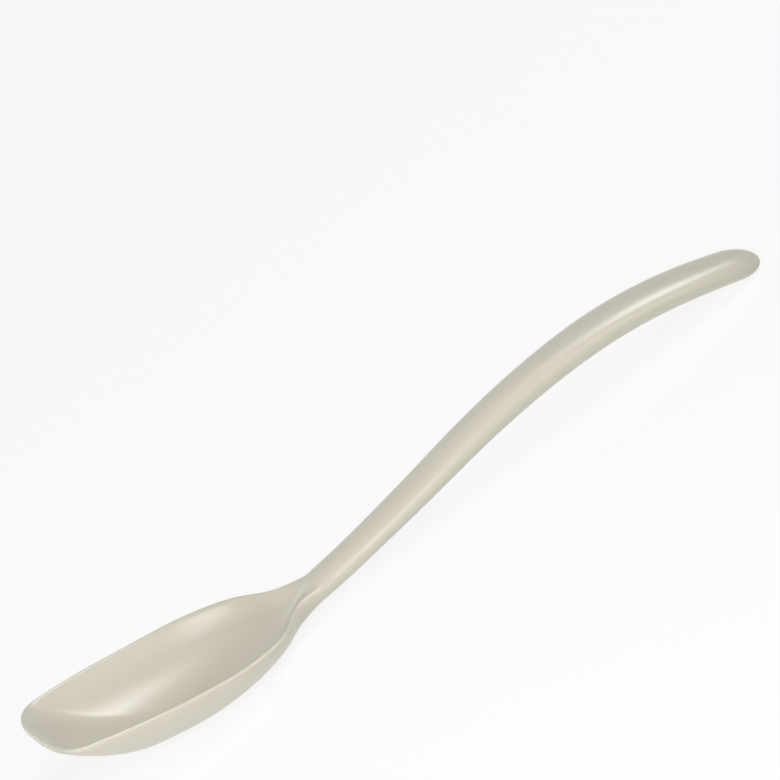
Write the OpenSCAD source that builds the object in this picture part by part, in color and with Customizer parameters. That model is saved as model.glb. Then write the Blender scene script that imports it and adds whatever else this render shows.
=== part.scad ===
// A cooking spoon moulded in one piece from hard plastic.
// It lies as it rests on a table: X runs from the nose to the end of the handle, Z is up,
// and the table is at zero. The bowl touches the table, and so does the end of the handle.

/* [Spoon] */
// Length from the nose to the end of the handle, as the spoon lies
spoon_length = 300; // [285:1:330]
// Thickness of the bowl's wall
wall = 2.4; // [1.8:0.1:3.2]

/* [Bowl] */
// Width at the widest section, between the middle lines of the two walls
bowl_width = 54; // [46:1:62]
// Distance from the nose to the widest section, which is also the lowest one
bowl_centre = 58; // [52:1:64]
// Depth inside, from the rim down to the floor, at the widest section
bowl_depth = 15.9; // [12:0.1:20]
// Height of the rim over the table at the nose
nose_height = 30.2; // [24:0.1:36]
// Width that the two flanks run towards at the nose
nose_width = 40; // [34:1:46]
// Length over which the flanks turn into the nose
nose_round = 11; // [8:0.5:15]
// Squareness of the nose seen from above, where 2 is an ellipse
nose_squareness = 2.8; // [2.2:0.1:3.4]
// Steepness of the wall at the nose, where 2 is a parabola
nose_steepness = 2.3; // [2:0.1:3.6]
// Steepness of the wall at the widest section, where 2 is a parabola
side_steepness = 3; // [2:0.1:3.6]

/* [Neck] */
// Distance from the nose to the narrowest section
neck_place = 108; // [104:1:112]
// Width of the narrowest section
neck_width = 13.5; // [11:0.1:16]
// Thickness of the neck, where its section is full
neck_thickness = 9; // [7:0.1:11]
// Height of the underside over the table, where the valley on top ends
neck_clearance = 4.95; // [3:0.05:8]
// Distance from the nose to where the wall starts to thicken
thickening_place = 80; // [74:1:86]
// Distance from the nose to where the section is full
solid_place = 116; // [110:1:120]
// Distance from the nose to where the valley on top has run out
valley_end = 118; // [114:1:122]
// Steepness of the valley's sides, where 2 is a parabola
valley_steepness = 2.2; // [2:0.1:3]

/* [Handle] */
// Width of the grip at its widest section
grip_width = 18.2; // [15:0.1:22]
// Distance from the nose to the widest section of the grip
grip_place = 256; // [250:1:262]
// Thickness of the grip
grip_thickness = 11.3; // [9:0.1:14]
// Distance from the nose to the top of the arch
arch_place = 216; // [210:1:222]
// Height of the underside over the table at the top of the arch
arch_clearance = 14.8; // [9:0.1:22]
// Width that the sides of the handle run towards at its end
end_width = 13.8; // [11:0.1:18]
// Length of the rounding at the end of the handle
end_round = 10.5; // [6:0.5:14]
// Dip of the underside's line below the table at the end, which the rounding takes away
end_dip = 2.7; // [1.5:0.1:4]

/* [Regions] */
// Distance from the nose to the flat section where the bowl meets the neck
bowl_end = 104; // [100:1:110]
// Distance from the nose to the flat section where the neck meets the handle
handle_start = 142; // [138:1:148]

/* [Hidden] */
plastic = [0.83, 0.81, 0.75];

// Spokes of the mesh on each side of the nose, and sections along each region
nose_spokes = 18;
bowl_sections = 16;
neck_sections = 10;
handle_sections = 24;
end_sections = 7;
// Steps from the middle of a section to its rim: on the flat and round the edge
flat_steps = 8;
edge_steps = 5;
steps = flat_steps + edge_steps;
ring = 4 * steps;

// Outline behind the widest section: place from bowl_centre to neck_place, then the half
// width between the neck's and the bowl's
shoulder_shares = [[0, 1], [0.24, 0.946], [0.44, 0.806], [0.6, 0.568], [0.74, 0.203], [0.9, 0.012]];
// Outline of the handle: place from neck_place to grip_place, then the half width between
// the neck's and the grip's
taper_shares = [[0, 0], [0.12, 0.085], [0.32, 0.345], [0.5, 0.395], [0.69, 0.565], [0.87, 0.875], [1, 1]];
// Outline from the grip to the end: place, then the half width between the end's and the grip's
tail_shares = [[0.55, 0.85], [1, 0]];

// Height of the rim from the nose to bowl_centre, between the two named heights there
nose_rim_shares = [[0, 1], [0.38, 0.63], [0.76, 0.23]];
// Height of the rim from bowl_centre to valley_end, between the two named heights there
heel_rim_shares = [[0, 1], [0.28, 0.66], [0.45, 0.48], [0.62, 0.362], [0.76, 0.249], [0.9, 0.005]];
// Height of the middle line from valley_end to arch_place, between the two named heights there
rise_shares = [[0, 0], [0.1, 0.092], [0.2, 0.201], [0.39, 0.43], [0.65, 0.77], [0.94, 0.98]];
// Height of the middle line from arch_place to the end, between the two named heights there
fall_shares = [[0.26, 0.95], [0.57, 0.69], [0.81, 0.337], [1, 0]];

// Depth of the dish from bowl_centre to valley_end, as a share of the rim's height
dish_shares = [
    [0, 1], [0.23, 0.98], [0.4, 0.89], [0.57, 0.71],
    [0.7, 0.522], [0.8, 0.3], [0.9, 0.064], [1, 0]
];

// Heights of the rim and of the middle line at the named places
centre_height = bowl_depth + wall;
neck_height = neck_clearance + neck_thickness / 2;
arch_height = arch_clearance + grip_thickness / 2;
end_height = grip_thickness / 2 - end_dip;

// Points of a table of shares, from one place and value to another
function between(table, from, to) =
    [for (row = table) [from[0] + (to[0] - from[0]) * row[0], to[1] + (from[1] - to[1]) * row[1]]];

// A smooth curve through points, like a batten bent round pins. Its ends are left free, or
// held level where asked.
function gap(points, i) = points[i + 1][0] - points[i][0];
function slope(points, i) = (points[i + 1][1] - points[i][1]) / gap(points, i);
function first_row(points, level) =
    level ? [0, 2 * gap(points, 0), gap(points, 0), 6 * slope(points, 0)] : [0, 1, 0, 0];
function last_row(points, level, i) =
    level ? [gap(points, i - 1), 2 * gap(points, i - 1), 0, -6 * slope(points, i - 1)] : [0, 1, 0, 0];
function inner_row(points, i) = [
    gap(points, i - 1),
    2 * (gap(points, i - 1) + gap(points, i)),
    gap(points, i),
    6 * (slope(points, i) - slope(points, i - 1))
];
function bend_row(points, i, level_start, level_end) =
    i == 0 ? first_row(points, level_start)
    : i < len(points) - 1 ? inner_row(points, i)
    : last_row(points, level_end, len(points) - 1);
function reduced(row, before) =
    [row[2], row[3] - row[0] * before[1]] / (row[1] - row[0] * before[0]);
function sweep(points, i, level_start, level_end) =
    reduced(
        bend_row(points, i, level_start, level_end),
        i == 0 ? [0, 0] : sweep(points, i - 1, level_start, level_end)
    );
function bend(rows, i) = rows[i][1] - (i < len(rows) - 1 ? rows[i][0] * bend(rows, i + 1) : 0);
function batten(points, level_start = false, level_end = false) =
    let (rows = [for (i = [0:len(points) - 1]) sweep(points, i, level_start, level_end)])
    [points, [for (i = [0:len(points) - 1]) bend(rows, i)]];
function piece(points, x, i = 0) =
    i >= len(points) - 2 || x < points[i + 1][0] ? i : piece(points, x, i + 1);
function along(curve, x) =
    let (
        i = piece(curve[0], x),
        h = gap(curve[0], i),
        b = (x - curve[0][i][0]) / h,
        a = 1 - b
    )
    a * curve[0][i][1] + b * curve[0][i + 1][1]
    + ((a * a * a - a) * curve[1][i] + (b * b * b - b) * curve[1][i + 1]) * h * h / 6;

// A rise from 0 to 1 with soft ends
function ease(t) = let (s = min(max(t, 0), 1)) s * s * s * (s * (6 * s - 15) + 10);

// Half width from the widest section to the end, before the end is rounded
outline_curve = batten(
    concat(
        between(shoulder_shares, [bowl_centre, bowl_width / 2], [neck_place, neck_width / 2]),
        [for (row = taper_shares) [
            neck_place + (grip_place - neck_place) * row[0],
            (neck_width + (grip_width - neck_width) * row[1]) / 2
        ]],
        between(tail_shares, [grip_place, grip_width / 2], [spoon_length, end_width / 2])
    ),
    level_start = true
);

// Height of the rim, and of the middle line behind it
height_curve = batten(
    concat(
        between(nose_rim_shares, [0, nose_height], [bowl_centre, centre_height]),
        between(heel_rim_shares, [bowl_centre, centre_height], [valley_end, neck_height]),
        [for (row = rise_shares) [
            valley_end + (arch_place - valley_end) * row[0],
            neck_height + (arch_height - neck_height) * row[1]
        ]],
        between(fall_shares, [arch_place, arch_height], [spoon_length, end_height])
    )
);

// Depth of the dish behind the widest section
dish_curve = batten(
    [for (row = dish_shares) [bowl_centre + (valley_end - bowl_centre) * row[0], row[1]]],
    level_start = true,
    level_end = true
);

// Rounding of the end, from 1 where it starts to 0 at the tip
function end_rounding(x) =
    let (t = max(0, (x - spoon_length + end_round) / end_round)) sqrt(max(0, 1 - t * t));

// Rounding of the nose, from 0 at the tip to 1 where the flanks start
function nose_rounding(x) =
    let (t = max(0, 1 - x / nose_round))
    pow(max(0, 1 - pow(t, nose_squareness)), 1 / nose_squareness);

// Half width of the outline
flank_power = 2.7;
function flank(x) =
    bowl_width / 2 - (bowl_width - nose_width) / 2 * pow(1 - x / bowl_centre, flank_power);
function half_width(x) =
    x < bowl_centre ? flank(x) * nose_rounding(x) : along(outline_curve, x) * end_rounding(x);

// Height of the floor's middle surface on the axis
function floor_height(x) =
    x <= bowl_centre ? wall / 2
    : x >= valley_end ? along(height_curve, x)
    : let (rim = along(height_curve, x)) rim - (rim - wall / 2) * along(dish_curve, x);

// Share of the way from the bowl's thin wall to the full section of the neck
function solidity(x) = ease((x - thickening_place) / (solid_place - thickening_place));

// Thickness in the middle of a section
function full_thickness(x) =
    neck_thickness
    + (grip_thickness - neck_thickness) * ease((x - valley_end) / (arch_place - valley_end));
function thickness(x) = (wall + (full_thickness(x) - wall) * solidity(x)) * end_rounding(x);

// One half section stands on the line from a point on the axis to a point of the outline.
// Its points run over the top from the axis to the rim, and back underneath.
function reach(j, edge_start, edge_power) =
    j < flat_steps ? edge_start * j / flat_steps
    : let (turn = asin(pow(edge_start, edge_power / 2)))
      pow(sin(turn + (90 - turn) * (j - flat_steps) / edge_steps), 2 / edge_power);

function half_section(axis_x, rim_x, rim_y, steepness) =
    let (
        span = norm([rim_x - axis_x, rim_y]),
        way = [rim_x - axis_x, rim_y] / span,
        thick = thickness(axis_x),
        low = floor_height(axis_x),
        drop = along(height_curve, rim_x) - low,
        edge_power = 2 + (4 * span / thick - 2) * (1 - solidity(axis_x)),
        edge_start = max(0.45, 1 - 0.55 * thick / span),
        rows = [for (j = [0:steps])
            let (
                r = reach(j, edge_start, edge_power),
                tilt = drop * steepness / span * (r > 0 ? pow(r, steepness - 1) : 0),
                half = thick / 2 * sqrt(max(0, 1 - pow(r, edge_power))),
                lean = half / sqrt(1 + tilt * tilt)
            )
            [r * span, low + drop * pow(r, steepness), tilt * lean, lean]]
    )
    [for (k = [0:2 * steps])
        let (row = rows[k <= steps ? k : 2 * steps - k], side = k <= steps ? 1 : -1)
        [
            axis_x + way[0] * (row[0] - side * row[2]),
            way[1] * (row[0] - side * row[2]),
            row[1] + side * row[3]
        ]];

function mirrored(points) = [for (p = points) [p[0], -p[1], p[2]]];

// A whole section across the spoon, as a closed ring of points
function section(x) =
    let (
        steepness = side_steepness + (valley_steepness - side_steepness) * solidity(x),
        half = half_section(x, x, half_width(x), steepness),
        other = mirrored(half)
    )
    concat(half, [for (k = [2 * steps - 1:-1:1]) other[k]]);

// A spoke of the nose, from the nose's axis at 0 to the widest section at 1
function spoke(t) =
    let (
        x = bowl_centre * pow(1 - cos(90 * t), nose_squareness / 2),
        y = half_width(x),
        turned = ease(atan2(y, bowl_centre - x) / 90)
    )
    half_section(
        bowl_centre, x, y, nose_steepness + (side_steepness - nose_steepness) * turned
    );

// Places of the sections of each region
bowl_places = [for (i = [0:bowl_sections]) bowl_centre + (bowl_end - bowl_centre) * i / bowl_sections];
neck_places = [for (i = [0:neck_sections]) bowl_end + (handle_start - bowl_end) * i / neck_sections];
end_start = spoon_length - end_round;
handle_places = concat(
    [for (i = [0:handle_sections]) handle_start + (end_start - handle_start) * i / handle_sections],
    [for (i = [1:end_sections - 1]) end_start + end_round * sin(90 * i / end_sections)]
);

// Faces between two rings of the same count, whose first points are numbered a and b
function band(a, b) = [for (k = [0:ring - 1], half = [0, 1])
    let (n = (k + 1) % ring)
    half == 0 ? [a + k, a + n, b + k] : [a + n, b + n, b + k]];

// A solid through rings of points, closed flat at its start, and flat or with a tip at its end
module loft(rings, tip = undef) {
    last = (len(rings) - 1) * ring;
    tip_number = last + ring;
    polyhedron(
        points = concat([for (points = rings, p = points) p], tip == undef ? [] : [tip]),
        faces = concat(
            [[for (k = [ring - 1:-1:0]) k]],
            [for (i = [0:len(rings) - 2]) each band(i * ring, (i + 1) * ring)],
            tip == undef ? [[for (k = [0:ring - 1]) last + k]]
            : [for (k = [0:ring - 1]) [last + k, last + (k + 1) % ring, tip_number]]
        ),
        convexity = 6
    );
}

// The bowl: spokes round the nose, and sections from the widest one back to the neck.
// The first section's ring takes its two halves from the first and the last spoke.
spoke_count = 2 * nose_spokes;
spoke_points = 2 * steps - 1;
first_ring = 2 + (spoke_count + 1) * spoke_points;
function spoke_number(c, k) =
    k == 0 ? 0 : k == 2 * steps ? 1 : 2 + c * spoke_points + k - 1;
function ring_number(i, k) =
    i > 0 ? first_ring + (i - 1) * ring + k
    : k <= 2 * steps ? spoke_number(0, k)
    : spoke_number(spoke_count, ring - k);

module bowl_solid() {
    far = [for (i = [nose_spokes:-1:0]) spoke(i / nose_spokes)];
    near = [for (i = [nose_spokes - 1:-1:0]) mirrored(far[i])];
    spokes = concat(far, near);
    rings = [for (x = bowl_places) section(x)];
    nose_faces = [for (c = [0:spoke_count - 1], k = [0:2 * steps - 1])
        let (
            a = spoke_number(c, k),
            b = spoke_number(c, k + 1),
            d = spoke_number(c + 1, k),
            e = spoke_number(c + 1, k + 1)
        )
        each [if (a != d) [a, d, b], if (b != e) [b, d, e]]];
    back_faces = [for (i = [0:bowl_sections - 1], k = [0:ring - 1])
        let (
            a = ring_number(i, k),
            b = ring_number(i, (k + 1) % ring),
            d = ring_number(i + 1, k),
            e = ring_number(i + 1, (k + 1) % ring)
        )
        each [[a, b, d], [b, e, d]]];
    polyhedron(
        points = concat(
            [spokes[0][0], spokes[0][2 * steps]],
            [for (points = spokes, k = [1:spoke_points]) points[k]],
            [for (i = [1:bowl_sections], p = rings[i]) p]
        ),
        faces = concat(
            nose_faces,
            back_faces,
            [[for (k = [0:ring - 1]) ring_number(bowl_sections, k)]]
        ),
        convexity = 6
    );
}

// Everything is drawn from the nose and then centred on the spoon's length
module placed() {
    translate([-spoon_length / 2, 0, 0]) children();
}

module bowl() {
    color(plastic) placed() bowl_solid();
}

module neck() {
    color(plastic) placed() loft([for (x = neck_places) section(x)]);
}

module handle() {
    color(plastic) placed()
        loft([for (x = handle_places) section(x)], [spoon_length, 0, along(height_curve, spoon_length)]);
}

bowl();
neck();
handle();
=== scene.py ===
"""A cooking spoon moulded in one piece from satin beige melamine.

The spoon lies on the table as its CAD regions do, with its nose towards -X. One seamless
moulding stands for the bowl, the neck and the handle. Lengths are in metres.
"""

import math

import bmesh
import bpy
import numpy as np
from bpy.props import FloatProperty, FloatVectorProperty, IntProperty, PointerProperty
from mathutils import Matrix, Vector


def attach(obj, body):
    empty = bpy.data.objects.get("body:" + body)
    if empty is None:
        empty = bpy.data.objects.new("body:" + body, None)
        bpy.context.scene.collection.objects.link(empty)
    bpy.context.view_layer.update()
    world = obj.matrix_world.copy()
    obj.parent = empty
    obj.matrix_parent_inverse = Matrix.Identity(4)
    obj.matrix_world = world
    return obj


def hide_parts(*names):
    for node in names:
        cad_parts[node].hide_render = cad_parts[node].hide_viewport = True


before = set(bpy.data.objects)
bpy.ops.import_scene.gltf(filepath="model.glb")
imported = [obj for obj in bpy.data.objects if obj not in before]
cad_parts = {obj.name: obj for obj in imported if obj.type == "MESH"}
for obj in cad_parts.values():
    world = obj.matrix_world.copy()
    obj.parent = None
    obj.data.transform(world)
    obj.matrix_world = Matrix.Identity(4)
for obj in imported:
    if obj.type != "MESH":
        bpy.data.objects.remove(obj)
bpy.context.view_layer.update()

bl_info = {
    "name": "Cooking spoon",
    "version": (1, 0, 0),
    "blender": (4, 5, 0),
    "location": "View3D > Sidebar > Spoon",
    "description": "Models a moulded melamine cooking spoon and the studio that it is shown in",
    "category": "Object",
}

MM = 0.001


def length(name, description, value, smallest=0.0):
    """A length in millimetres, kept as a Blender length."""
    return FloatProperty(
        name=name, description=description, default=value * MM, min=smallest * MM, unit="LENGTH"
    )


def shape(name, description, value):
    """A plain number that sets the form of a curve."""
    return FloatProperty(name=name, description=description, default=value, min=1.0, max=8.0)


def power(name, description, value):
    """The power of a light, in watts."""
    return FloatProperty(name=name, description=description, default=value, min=0.0, unit="POWER")


class SpoonSizes(bpy.types.PropertyGroup):
    """Sizes of the moulding, measured from the nose as the spoon lies on a table."""

    spoon_length: length("Length", "From the nose to the end of the handle", 300)
    wall: length("Wall", "Thickness of the bowl's wall", 2.4)

    bowl_width: length("Bowl width", "Between the middle lines of the walls at the widest section", 54)
    bowl_centre: length("Bowl centre", "From the nose to the widest and lowest section", 58)
    bowl_depth: length("Bowl depth", "Depth inside, below the rim, at the widest section", 15.9)
    nose_height: length("Nose height", "Height of the rim over the table at the nose", 30.2)
    nose_width: length("Nose width", "Width that the flanks run towards at the nose", 40)
    nose_round: length("Nose rounding", "Length over which the flanks turn into the nose", 11)
    nose_squareness: shape("Nose squareness", "Form of the nose, where 2 is an ellipse", 2.8)
    nose_steepness: shape("Nose steepness", "Form of the nose's wall, where 2 is a parabola", 2.3)
    side_steepness: shape("Side steepness", "Form of the side walls, where 2 is a parabola", 3.0)

    neck_place: length("Neck place", "From the nose to the narrowest section", 108)
    neck_width: length("Neck width", "Width of the narrowest section", 13.5)
    neck_thickness: length("Neck thickness", "Thickness of the neck", 9.0)
    neck_clearance: length("Neck clearance", "Height of the underside where the valley ends", 4.95)
    thickening_place: length("Thickening", "From the nose to where the wall thickens", 80)
    solid_place: length("Solid place", "From the nose to where the section is full", 116)
    valley_end: length("Valley end", "From the nose to where the valley has run out", 118)
    valley_steepness: shape("Valley steepness", "Form of the valley's sides", 2.2)

    grip_width: length("Grip width", "Width of the grip at its widest section", 18.2)
    grip_place: length("Grip place", "From the nose to the grip's widest section", 256)
    grip_thickness: length("Grip thickness", "Thickness of the grip", 11.3)
    arch_place: length("Arch place", "From the nose to the top of the arch", 216)
    arch_clearance: length("Arch clearance", "Height of the underside at the arch", 14.8)
    end_width: length("End width", "Width that the sides run towards at the end", 13.8)
    end_round: length("End rounding", "Length of the rounding at the handle's end", 10.5)
    end_dip: length("End dip", "Dip of the underside's line, which the rounding takes away", 2.7)


class SpoonMesh(bpy.types.PropertyGroup):
    """Fineness of the moulding's mesh."""

    nose_spokes: IntProperty(
        name="Nose spokes", description="Half sections on each side of the nose", default=40, min=8
    )
    section_gap: length("Section gap", "Distance between the sections", 2.0)
    end_sections: IntProperty(
        name="End sections", description="Sections round the handle's end", default=14, min=4
    )
    flat_steps: IntProperty(
        name="Flat steps", description="Steps from the axis to the edge's rounding", default=18
    )
    edge_steps: IntProperty(
        name="Edge steps", description="Steps round half of the edge", default=9, min=3
    )


class SpoonFinish(bpy.types.PropertyGroup):
    """Colour and surface of the melamine."""

    colour: FloatVectorProperty(
        name="Colour",
        description="Warm beige of the moulding",
        default=(0.62, 0.585, 0.48),
        subtype="COLOR",
        min=0.0,
        max=1.0,
    )
    roughness: FloatProperty(
        name="Roughness", description="Satin of the moulded skin", default=0.3, min=0.0, max=1.0
    )


class SpoonStudio(bpy.types.PropertyGroup):
    """Camera and light of the photograph."""

    target: FloatVectorProperty(
        name="Target",
        description="Point that the camera looks at",
        default=(0.0, 0.0, 0.02),
        subtype="TRANSLATION",
        unit="LENGTH",
    )
    distance: FloatProperty(
        name="Distance", description="From the camera to its target", default=2.5, unit="LENGTH"
    )
    azimuth: FloatProperty(
        name="Azimuth",
        description="Turn of the camera from -Y towards -X",
        default=math.radians(13.36),
        subtype="ANGLE",
    )
    elevation: FloatProperty(
        name="Elevation",
        description="Height of the camera over the table",
        default=math.radians(30.23),
        subtype="ANGLE",
    )
    roll: FloatProperty(
        name="Roll",
        description="Turn of the picture, which raises the handle",
        default=math.radians(31.43),
        subtype="ANGLE",
    )
    scale: FloatProperty(
        name="Picture scale", description="Pixels for each millimetre at the target", default=2.975
    )
    key_power: power("Key power", "Panel over the handle's side", 2.5)
    right_power: power("Right power", "Panel beyond the handle's end", 4.8)
    high_power: power("High power", "Panel high over the handle", 2.55)
    bowl_power: power("Bowl power", "Panel close to the bowl, over the camera", 1.08)
    nose_power: power("Nose power", "Panel close to the bowl, on the nose's side", 0.28)
    low_power: power("Low power", "Low panel on the nose's side", 6.5)
    fill_power: power("Fill power", "Panel beside the camera, on the handle's side", 2.0)
    back_power: power("Back power", "Panel behind the spoon, on the nose's side", 5.6)
    room_light: FloatProperty(
        name="Room light", description="Even light from all round", default=0.03, min=0.0
    )
    floor_white: FloatProperty(
        name="Floor white",
        description="Share of plain white in the floor that the camera sees",
        default=0.86,
        min=0.0,
        max=1.0,
    )
    aim_across: FloatProperty(
        name="Aim across",
        description="From the target to the middle of the picture, along its width",
        default=-0.00232,
        unit="LENGTH",
    )
    aim_up: FloatProperty(
        name="Aim up",
        description="From the target to the middle of the picture, along its height",
        default=0.03227,
        unit="LENGTH",
    )


# Tables of shares: a place between two named places, and a value between two named values
SHOULDER_SHARES = ((0, 1), (0.24, 0.946), (0.44, 0.806), (0.6, 0.568), (0.74, 0.203), (0.9, 0.012))
TAPER_SHARES = (
    (0, 0), (0.12, 0.085), (0.32, 0.345), (0.5, 0.395), (0.69, 0.565), (0.87, 0.875), (1, 1)
)
TAIL_SHARES = ((0.55, 0.85), (1, 0))
NOSE_RIM_SHARES = ((0, 1), (0.38, 0.63), (0.76, 0.23))
HEEL_RIM_SHARES = ((0, 1), (0.28, 0.66), (0.45, 0.48), (0.62, 0.362), (0.76, 0.249), (0.9, 0.005))
RISE_SHARES = ((0, 0), (0.1, 0.092), (0.2, 0.201), (0.39, 0.43), (0.65, 0.77), (0.94, 0.98))
FALL_SHARES = ((0.26, 0.95), (0.57, 0.69), (0.81, 0.337), (1, 0))
DISH_SHARES = (
    (0, 1), (0.23, 0.98), (0.4, 0.89), (0.57, 0.71), (0.7, 0.522), (0.8, 0.3), (0.9, 0.064), (1, 0)
)
# Form of the flanks between the widest section and the nose, where 2 is a parabola
FLANK_POWER = 2.7
# Least share of a half section that lies before the edge's rounding
FLAT_LEAST_SHARE = 0.45
# Share of the thickness that the edge's rounding takes
EDGE_SHARE = 0.55
# Points closer than this become one point
MERGE_GAP = 0.002 * MM
# Points closer than this to a section belong to it
SAME_PLACE = 0.0001 * MM


def between(table, start, end):
    """Points of a table of shares, whose value is 1 at the start and 0 at the end."""
    return [
        (start[0] + (end[0] - start[0]) * place, end[1] + (start[1] - end[1]) * value)
        for place, value in table
    ]


def ease(t):
    """A rise from 0 to 1 with soft ends."""
    s = min(max(t, 0.0), 1.0)
    return s * s * s * (s * (6 * s - 15) + 10)


class Batten:
    """A smooth curve through points, like a thin strip bent round pins."""

    def __init__(self, points, level_start=False, level_end=False):
        self.x, self.y = (np.array(values, float) for values in zip(*points))
        gaps = np.diff(self.x)
        slopes = np.diff(self.y) / gaps
        count = len(points)
        rows = np.eye(count)
        sides = np.zeros(count)
        for i in range(1, count - 1):
            rows[i, i - 1 : i + 2] = gaps[i - 1], 2 * (gaps[i - 1] + gaps[i]), gaps[i]
            sides[i] = 6 * (slopes[i] - slopes[i - 1])
        if level_start:
            rows[0, :2] = 2 * gaps[0], gaps[0]
            sides[0] = 6 * slopes[0]
        if level_end:
            rows[-1, -2:] = gaps[-1], 2 * gaps[-1]
            sides[-1] = -6 * slopes[-1]
        self.bends = np.linalg.solve(rows, sides)

    def __call__(self, x):
        i = int(np.clip(np.searchsorted(self.x, x, side="right") - 1, 0, len(self.x) - 2))
        gap = self.x[i + 1] - self.x[i]
        b = (x - self.x[i]) / gap
        a = 1 - b
        bend = (a**3 - a) * self.bends[i] + (b**3 - b) * self.bends[i + 1]
        return a * self.y[i] + b * self.y[i + 1] + bend * gap * gap / 6


class Moulding:
    """The spoon's surface, section by section, from its named sizes."""

    def __init__(self, sizes, mesh):
        self.s = s = sizes
        self.flat_steps = mesh.flat_steps
        self.edge_steps = mesh.edge_steps
        self.steps = mesh.flat_steps + mesh.edge_steps
        neck_height = s.neck_clearance + s.neck_thickness / 2
        arch_height = s.arch_clearance + s.grip_thickness / 2
        centre = (s.bowl_centre, s.bowl_depth + s.wall)
        end = (s.spoon_length, s.grip_thickness / 2 - s.end_dip)
        widest = (s.bowl_centre, s.bowl_width / 2)
        narrowest = (s.neck_place, s.neck_width / 2)
        lowest = (s.valley_end, neck_height)
        grip = (s.grip_place, s.grip_width / 2)
        self.outline = Batten(
            between(SHOULDER_SHARES, widest, narrowest)
            + self.rise(TAPER_SHARES, narrowest, grip)
            + between(TAIL_SHARES, grip, (s.spoon_length, s.end_width / 2)),
            level_start=True,
        )
        self.height = Batten(
            between(NOSE_RIM_SHARES, (0, s.nose_height), centre)
            + between(HEEL_RIM_SHARES, centre, lowest)
            + self.rise(RISE_SHARES, lowest, (s.arch_place, arch_height))
            + between(FALL_SHARES, (s.arch_place, arch_height), end)
        )
        self.dish = Batten(
            between(DISH_SHARES, (s.bowl_centre, 1), (s.valley_end, 0)),
            level_start=True,
            level_end=True,
        )

    @staticmethod
    def rise(table, start, end):
        """Points of a table of shares, whose value is 0 at the start and 1 at the end."""
        return between([(place, 1 - value) for place, value in table], start, end)

    def end_rounding(self, x):
        """From 1 where the rounding of the handle's end starts to 0 at the tip."""
        t = max(0.0, (x - self.s.spoon_length + self.s.end_round) / self.s.end_round)
        return math.sqrt(max(0.0, 1 - t * t))

    def half_width(self, x):
        """Half width of the outline."""
        s = self.s
        if x >= s.bowl_centre:
            return self.outline(x) * self.end_rounding(x)
        away = 1 - x / s.bowl_centre
        flank = s.bowl_width / 2 - (s.bowl_width - s.nose_width) / 2 * away**FLANK_POWER
        t = max(0.0, 1 - x / s.nose_round)
        return flank * max(0.0, 1 - t**s.nose_squareness) ** (1 / s.nose_squareness)

    def solidity(self, x):
        """Share of the way from the thin wall to the full section of the neck."""
        s = self.s
        return ease((x - s.thickening_place) / (s.solid_place - s.thickening_place))

    def thickness(self, x):
        """Thickness in the middle of a section."""
        s = self.s
        blend = ease((x - s.valley_end) / (s.arch_place - s.valley_end))
        full = s.neck_thickness + (s.grip_thickness - s.neck_thickness) * blend
        return (s.wall + (full - s.wall) * self.solidity(x)) * self.end_rounding(x)

    def floor_height(self, x):
        """Height of the floor's middle surface on the axis."""
        s = self.s
        if x <= s.bowl_centre:
            return s.wall / 2
        rim = self.height(x)
        return rim if x >= s.valley_end else rim - (rim - s.wall / 2) * self.dish(x)

    def half_section(self, axis_x, rim_x, rim_y, steepness):
        """Points over the top from the axis to the rim, and back underneath."""
        span = math.hypot(rim_x - axis_x, rim_y)
        way = np.array([(rim_x - axis_x) / span, rim_y / span])
        thick = self.thickness(axis_x)
        low = self.floor_height(axis_x)
        drop = self.height(rim_x) - low
        edge_power = 2 + (4 * span / thick - 2) * (1 - self.solidity(axis_x))
        edge_start = max(FLAT_LEAST_SHARE, 1 - EDGE_SHARE * thick / span)
        turn = math.asin(edge_start ** (edge_power / 2))
        turns = turn + (math.pi / 2 - turn) * np.arange(self.edge_steps + 1) / self.edge_steps
        reach = np.concatenate([
            edge_start * np.arange(self.flat_steps) / self.flat_steps,
            np.sin(turns) ** (2 / edge_power),
        ])
        tilt = drop * steepness / span * reach ** (steepness - 1)
        half = thick / 2 * np.sqrt(np.maximum(0, 1 - reach**edge_power))
        lean = half / np.sqrt(1 + tilt * tilt)
        order = np.concatenate([np.arange(self.steps + 1), np.arange(self.steps - 1, -1, -1)])
        side = np.where(np.arange(2 * self.steps + 1) <= self.steps, 1, -1)
        out = reach[order] * span - side * (tilt * lean)[order]
        up = (low + drop * reach**steepness)[order] + side * lean[order]
        return np.column_stack([axis_x + way[0] * out, way[1] * out, up])

    def section(self, x):
        """A whole section across the spoon, as a closed ring of points."""
        s = self.s
        steepness = s.side_steepness + (s.valley_steepness - s.side_steepness) * self.solidity(x)
        half = self.half_section(x, x, self.half_width(x), steepness)
        return np.concatenate([half, (half * (1, -1, 1))[-2:0:-1]])

    def spoke(self, t):
        """A half section of the nose, from its axis at 0 to the widest section at 1."""
        s = self.s
        x = s.bowl_centre * (1 - math.cos(math.pi / 2 * t)) ** (s.nose_squareness / 2)
        y = self.half_width(x)
        turned = ease(math.atan2(y, s.bowl_centre - x) / (math.pi / 2))
        steepness = s.nose_steepness + (s.side_steepness - s.nose_steepness) * turned
        return self.half_section(s.bowl_centre, x, y, steepness)


class Socket:
    """A shader socket on which plain arithmetic adds Math nodes."""

    def __init__(self, tree, output):
        self.tree = tree
        self.output = output

    def maths(self, operation, *values):
        return self.tree.node("ShaderNodeMath", {"operation": operation}, values)

    def __add__(self, other):
        return self.maths("ADD", self, other)

    def __sub__(self, other):
        return self.maths("SUBTRACT", self, other)

    def __mul__(self, other):
        return self.maths("MULTIPLY", self, other)

    __radd__ = __add__
    __rmul__ = __mul__

    def __rsub__(self, other):
        return self.maths("SUBTRACT", other, self)


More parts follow.
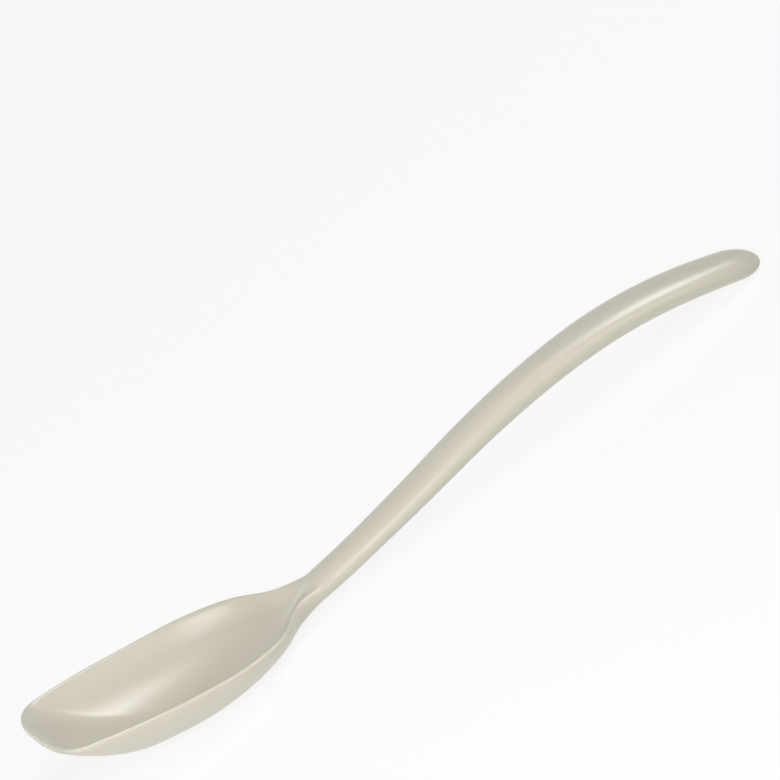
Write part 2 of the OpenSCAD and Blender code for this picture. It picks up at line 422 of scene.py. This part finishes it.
class Tree:
    """A node tree whose nodes all come from one method."""

    def __init__(self, owner):
        owner.use_nodes = True
        self.nodes = owner.node_tree.nodes
        self.links = owner.node_tree.links
        self.nodes.clear()

    def node(self, kind, settings=None, values=(), output=0):
        """Add a node, set it up, feed its sockets and give one output back."""
        node = self.nodes.new(kind)
        for name, setting in (settings or {}).items():
            setattr(node, name, setting)
        pairs = values.items() if isinstance(values, dict) else enumerate(values)
        for key, value in pairs:
            if isinstance(value, Socket):
                self.links.new(value.output, node.inputs[key])
            else:
                node.inputs[key].default_value = value
        return Socket(self, node.outputs[output]) if node.outputs else node

    def noise(self, place, scale, detail=2.0):
        """Soft noise around zero."""
        sample = self.node(
            "ShaderNodeTexNoise",
            {"noise_dimensions": "3D"},
            {"Vector": place, "Scale": scale, "Detail": detail, "Roughness": 0.5},
        )
        return sample - 0.5


# Noise of the melamine's skin, in waves for each metre
CLOUD_SCALE = 38.0
RIPPLE_SCALE = 160.0
GRAIN_SCALE = 1400.0
GRAIN_DETAIL = 3.0
# How far that noise changes the colour and the roughness
COLOUR_SPREAD = 0.03
SATURATION_SPREAD = -0.08
CLOUD_ROUGHNESS = 0.05
GRAIN_ROUGHNESS = 0.06
# Relief of the skin, and the share of it that is grain
SKIN_STRENGTH = 0.25
SKIN_DEPTH = 0.06 * MM
GRAIN_HEIGHT_SHARE = 0.25
# Index of refraction
MELAMINE_IOR = 1.65


def melamine(finish):
    """Satin melamine: even colour, a faintly uneven moulded skin and a soft sheen."""
    material = bpy.data.materials.new("satin_melamine")
    tree = Tree(material)
    place = tree.node("ShaderNodeTexCoord", output="Object")
    cloud = tree.noise(place, CLOUD_SCALE)
    grain = tree.noise(place, GRAIN_SCALE, GRAIN_DETAIL)
    ripple = tree.noise(place, RIPPLE_SCALE)
    colour = tree.node(
        "ShaderNodeHueSaturation",
        {},
        {
            "Value": 1.0 + cloud * COLOUR_SPREAD + grain * COLOUR_SPREAD,
            "Saturation": 1.0 + cloud * SATURATION_SPREAD,
            "Color": (*finish.colour, 1.0),
        },
    )
    skin = tree.node(
        "ShaderNodeBump",
        {},
        {
            "Strength": SKIN_STRENGTH,
            "Distance": SKIN_DEPTH,
            "Height": ripple + grain * GRAIN_HEIGHT_SHARE,
        },
    )
    shader = tree.node(
        "ShaderNodeBsdfPrincipled",
        {},
        {
            "Base Color": colour,
            "Roughness": finish.roughness + cloud * CLOUD_ROUGHNESS + grain * GRAIN_ROUGHNESS,
            "IOR": MELAMINE_IOR,
            "Normal": skin,
        },
    )
    tree.node("ShaderNodeOutputMaterial", {}, {"Surface": shader})
    return material


def deselect_all():
    """Leave edit mode and deselect every object."""
    if bpy.context.object and bpy.context.object.mode != "OBJECT":
        bpy.ops.object.mode_set(mode="OBJECT")
    bpy.ops.object.select_all(action="DESELECT")


class Strip:
    """A row of numbered points that is extruded from place to place in edit mode."""

    LAYER = "number"

    def __init__(self, piece):
        self.mesh = piece.data
        form = bmesh.from_edit_mesh(self.mesh)
        number = form.verts.layers.int.new(self.LAYER)
        for i, vert in enumerate(form.verts):
            vert[number] = i
        bmesh.update_edit_mesh(self.mesh)

    def form(self):
        """The edit mesh, and the layer that numbers the points of a row."""
        form = bmesh.from_edit_mesh(self.mesh)
        return form, form.verts.layers.int[self.LAYER]

    def put(self, points):
        """Move the selected row onto its section."""
        form, number = self.form()
        row = sorted((v for v in form.verts if v.select), key=lambda v: v[number])
        if len(row) != len(points):
            raise RuntimeError(f"a row has {len(row)} points where {len(points)} are due")
        for vert, point in zip(row, points):
            vert.co = point
        bmesh.update_edit_mesh(self.mesh)

    def select(self, test):
        """Select the points that pass a test, with the edges between them."""
        form, number = self.form()
        for element in (*form.verts, *form.edges, *form.faces):
            element.select = False
        for vert in form.verts:
            vert.select = test(vert, vert[number])
        form.select_flush(True)
        bmesh.update_edit_mesh(self.mesh)

    def extrude(self, points):
        """Extrude the selected row onto its next section."""
        bpy.ops.mesh.extrude_region_move()
        self.put(points)

    def drop_numbers(self):
        """Take the numbers off the finished mesh, in object mode."""
        self.mesh.attributes.remove(self.mesh.attributes[self.LAYER])


def places_between(start, end, gap):
    """Evenly spaced places from start to end, without the start."""
    count = max(1, round((end - start) / gap))
    return [start + (end - start) * i / count for i in range(1, count + 1)]


def model_moulding(sizes, mesh):
    """Draw one section and extrude it back to the handle's end and round the nose."""
    moulding = Moulding(sizes, mesh)
    first = moulding.section(sizes.bowl_centre)
    half = 2 * moulding.steps
    deselect_all()
    bpy.ops.mesh.primitive_circle_add(vertices=len(first), radius=sizes.bowl_width / 2)
    piece = bpy.context.object
    piece.name = piece.data.name = "spoon_moulding"
    bpy.ops.object.mode_set(mode="EDIT")
    bpy.ops.mesh.select_mode(type="VERT")
    bpy.ops.mesh.select_all(action="SELECT")
    strip = Strip(piece)
    strip.put(first)

    end_start = sizes.spoon_length - sizes.end_round
    for x in places_between(sizes.bowl_centre, end_start, mesh.section_gap):
        strip.extrude(moulding.section(x))
    for i in range(1, mesh.end_sections):
        x = end_start + sizes.end_round * math.sin(math.pi / 2 * i / mesh.end_sections)
        strip.extrude(moulding.section(x))
    tip = (sizes.spoon_length, 0.0, moulding.height(sizes.spoon_length))
    strip.extrude([tip] * len(first))

    spokes = [moulding.spoke(i / mesh.nose_spokes) for i in range(mesh.nose_spokes, -1, -1)]
    spokes += [spoke * (1, -1, 1) for spoke in spokes[-2::-1]]
    centre = sizes.bowl_centre
    strip.select(lambda v, number: number <= half and abs(v.co.x - centre) < SAME_PLACE)
    for spoke in spokes[1:]:
        strip.extrude(spoke)

    bpy.ops.mesh.select_all(action="SELECT")
    bpy.ops.mesh.remove_doubles(threshold=MERGE_GAP)
    bpy.ops.mesh.normals_make_consistent(inside=False)
    bpy.ops.transform.translate(value=(-sizes.spoon_length / 2, 0, 0))
    bpy.ops.object.mode_set(mode="OBJECT")
    strip.drop_numbers()
    bpy.ops.object.shade_smooth()
    return piece


class SPOON_OT_moulding(bpy.types.Operator):
    """Model the spoon as one seamless moulding over its three CAD regions"""

    bl_idname = "spoon.moulding"
    bl_label = "Moulding"

    def execute(self, context):
        scene = context.scene
        piece = model_moulding(scene.spoon_sizes, scene.spoon_mesh)
        piece.data.materials.clear()
        piece.data.materials.append(melamine(scene.spoon_finish))
        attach(piece, "root")
        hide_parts("bowl", "neck", "handle")
        return {"FINISHED"}


# Width of the photograph in pixels, and of the camera's sensor in millimetres
PICTURE_SIZE = 780
SENSOR_WIDTH = 36.0
# How far the camera sees, in metres
CAMERA_REACH = 100.0


def add_camera(studio):
    """A long lens far off, turned and rolled as in the photograph."""
    toward = Vector((
        math.sin(studio.azimuth) * math.cos(studio.elevation),
        math.cos(studio.azimuth) * math.cos(studio.elevation),
        -math.sin(studio.elevation),
    ))
    right = Vector((math.cos(studio.azimuth), -math.sin(studio.azimuth), 0))
    up = right.cross(toward)
    roll_cos = math.cos(studio.roll)
    roll_sin = math.sin(studio.roll)
    across = roll_cos * right - roll_sin * up
    upward = roll_sin * right + roll_cos * up
    target = Vector(studio.target)
    eye = target - toward * studio.distance
    aim = target + across * studio.aim_across + upward * studio.aim_up
    ahead = (aim - eye).normalized()
    across = (across - ahead * across.dot(ahead)).normalized()
    upward = across.cross(ahead)

    data = bpy.data.cameras.new("camera")
    data.sensor_width = SENSOR_WIDTH
    data.lens = studio.scale / MM * studio.distance * SENSOR_WIDTH / PICTURE_SIZE
    data.clip_end = CAMERA_REACH
    camera = bpy.data.objects.new("camera", data)
    bpy.context.scene.collection.objects.link(camera)
    turn = Matrix((across, upward, -ahead)).transposed().to_4x4()
    camera.matrix_world = Matrix.Translation(eye) @ turn
    bpy.context.scene.camera = camera


# Soft panels round the spoon: name, place along the spoon that each one faces, degrees from -Y
# towards +X, degrees up, distance, width and height, with the lengths in metres
PANELS = (
    ("key", 0.0, 65, 52, 1.5, 0.4, 0.4),
    ("right", 0.0, 88, 50, 1.5, 0.5, 0.5),
    ("high", 0.0, 65, 66, 1.5, 0.6, 0.6),
    ("bowl", -0.09, -10, 38, 0.5, 0.3, 0.22),
    ("nose", -0.09, -60, 35, 0.5, 0.4, 0.3),
    ("low", 0.0, -50, 8, 1.5, 1.0, 0.3),
    ("fill", 0.0, 28, 26, 1.5, 0.8, 0.6),
    ("back", 0.0, 220, 21, 1.5, 1.2, 0.7),
)
# Height over the table of the points that the panels face
PANEL_AIM_HEIGHT = 20 * MM


def add_panel(name, aim, turn, rise, distance, width, height, power):
    """A rectangle of soft light that faces the spoon."""
    toward = Vector((
        math.sin(math.radians(turn)) * math.cos(math.radians(rise)),
        -math.cos(math.radians(turn)) * math.cos(math.radians(rise)),
        math.sin(math.radians(rise)),
    ))
    data = bpy.data.lights.new(name, "AREA")
    data.shape = "RECTANGLE"
    data.size = width
    data.size_y = height
    data.energy = power
    panel = bpy.data.objects.new(name, data)
    bpy.context.scene.collection.objects.link(panel)
    panel.location = Vector((aim, 0.0, PANEL_AIM_HEIGHT)) + toward * distance
    panel.rotation_euler = toward.to_track_quat("Z", "Y").to_euler()


def seen(tree):
    """1 for rays that show a surface to the eye, straight or by way of gloss or glass."""
    rays = tree.node("ShaderNodeLightPath").output.node.outputs
    camera, glossy, clear = (
        Socket(tree, rays[name])
        for name in ("Is Camera Ray", "Is Glossy Ray", "Is Transmission Ray")
    )
    return tree.node(
        "ShaderNodeMath", {"operation": "ADD", "use_clamp": True}, (camera + glossy, clear)
    )


WHITE = (1.0, 1.0, 1.0, 1.0)
FLOOR_COLOUR = (0.9, 0.9, 0.9, 1.0)
# Width and depth of the floor, in metres
FLOOR_SIZE = 12.0


def pale_floor(studio):
    """A matt pale floor that looks white and keeps a soft shadow."""
    material = bpy.data.materials.new("pale_floor")
    tree = Tree(material)
    matt = tree.node("ShaderNodeBsdfDiffuse", {}, {"Color": FLOOR_COLOUR})
    white = tree.node("ShaderNodeEmission", {}, {"Color": WHITE, "Strength": 1.0})
    surface = tree.node("ShaderNodeMixShader", {}, (seen(tree) * studio.floor_white, matt, white))
    tree.node("ShaderNodeOutputMaterial", {}, {"Surface": surface})
    return material


class SPOON_OT_studio(bpy.types.Operator):
    """Add the pale floor, the soft lights, the world and the camera"""

    bl_idname = "spoon.studio"
    bl_label = "Studio"

    def execute(self, context):
        studio = context.scene.spoon_studio
        add_camera(studio)
        for name, *place in PANELS:
            add_panel(name, *place, getattr(studio, name + "_power"))

        deselect_all()
        bpy.ops.mesh.primitive_plane_add(size=FLOOR_SIZE, location=(0, 0, 0))
        floor = context.object
        floor.name = floor.data.name = "floor"
        floor.data.materials.append(pale_floor(studio))

        world = bpy.data.worlds.new("studio")
        context.scene.world = world
        sky = Tree(world)
        dim = studio.room_light
        strength = dim + seen(sky) * (1.0 - dim)
        glow = sky.node("ShaderNodeBackground", {}, {"Color": WHITE, "Strength": strength})
        sky.node("ShaderNodeOutputWorld", {}, {"Surface": glow})
        context.scene.view_settings.view_transform = "Standard"
        return {"FINISHED"}


class SPOON_PT_panel(bpy.types.Panel):
    """Buttons that make the spoon and its studio"""

    bl_label = "Cooking spoon"
    bl_space_type = "VIEW_3D"
    bl_region_type = "UI"
    bl_category = "Spoon"

    def draw(self, context):
        for operator in OPERATORS:
            self.layout.operator(operator.bl_idname)


GROUPS = {
    "spoon_sizes": SpoonSizes,
    "spoon_mesh": SpoonMesh,
    "spoon_finish": SpoonFinish,
    "spoon_studio": SpoonStudio,
}
OPERATORS = (SPOON_OT_moulding, SPOON_OT_studio)
CLASSES = (*GROUPS.values(), *OPERATORS, SPOON_PT_panel)


def register():
    for cls in CLASSES:
        bpy.utils.register_class(cls)
    for name, group in GROUPS.items():
        setattr(bpy.types.Scene, name, PointerProperty(type=group))


def unregister():
    for name in GROUPS:
        delattr(bpy.types.Scene, name)
    for cls in reversed(CLASSES):
        bpy.utils.unregister_class(cls)


def main():
    register()
    bpy.ops.spoon.studio()
    bpy.ops.spoon.moulding()


if __name__ == "__main__":
    main()
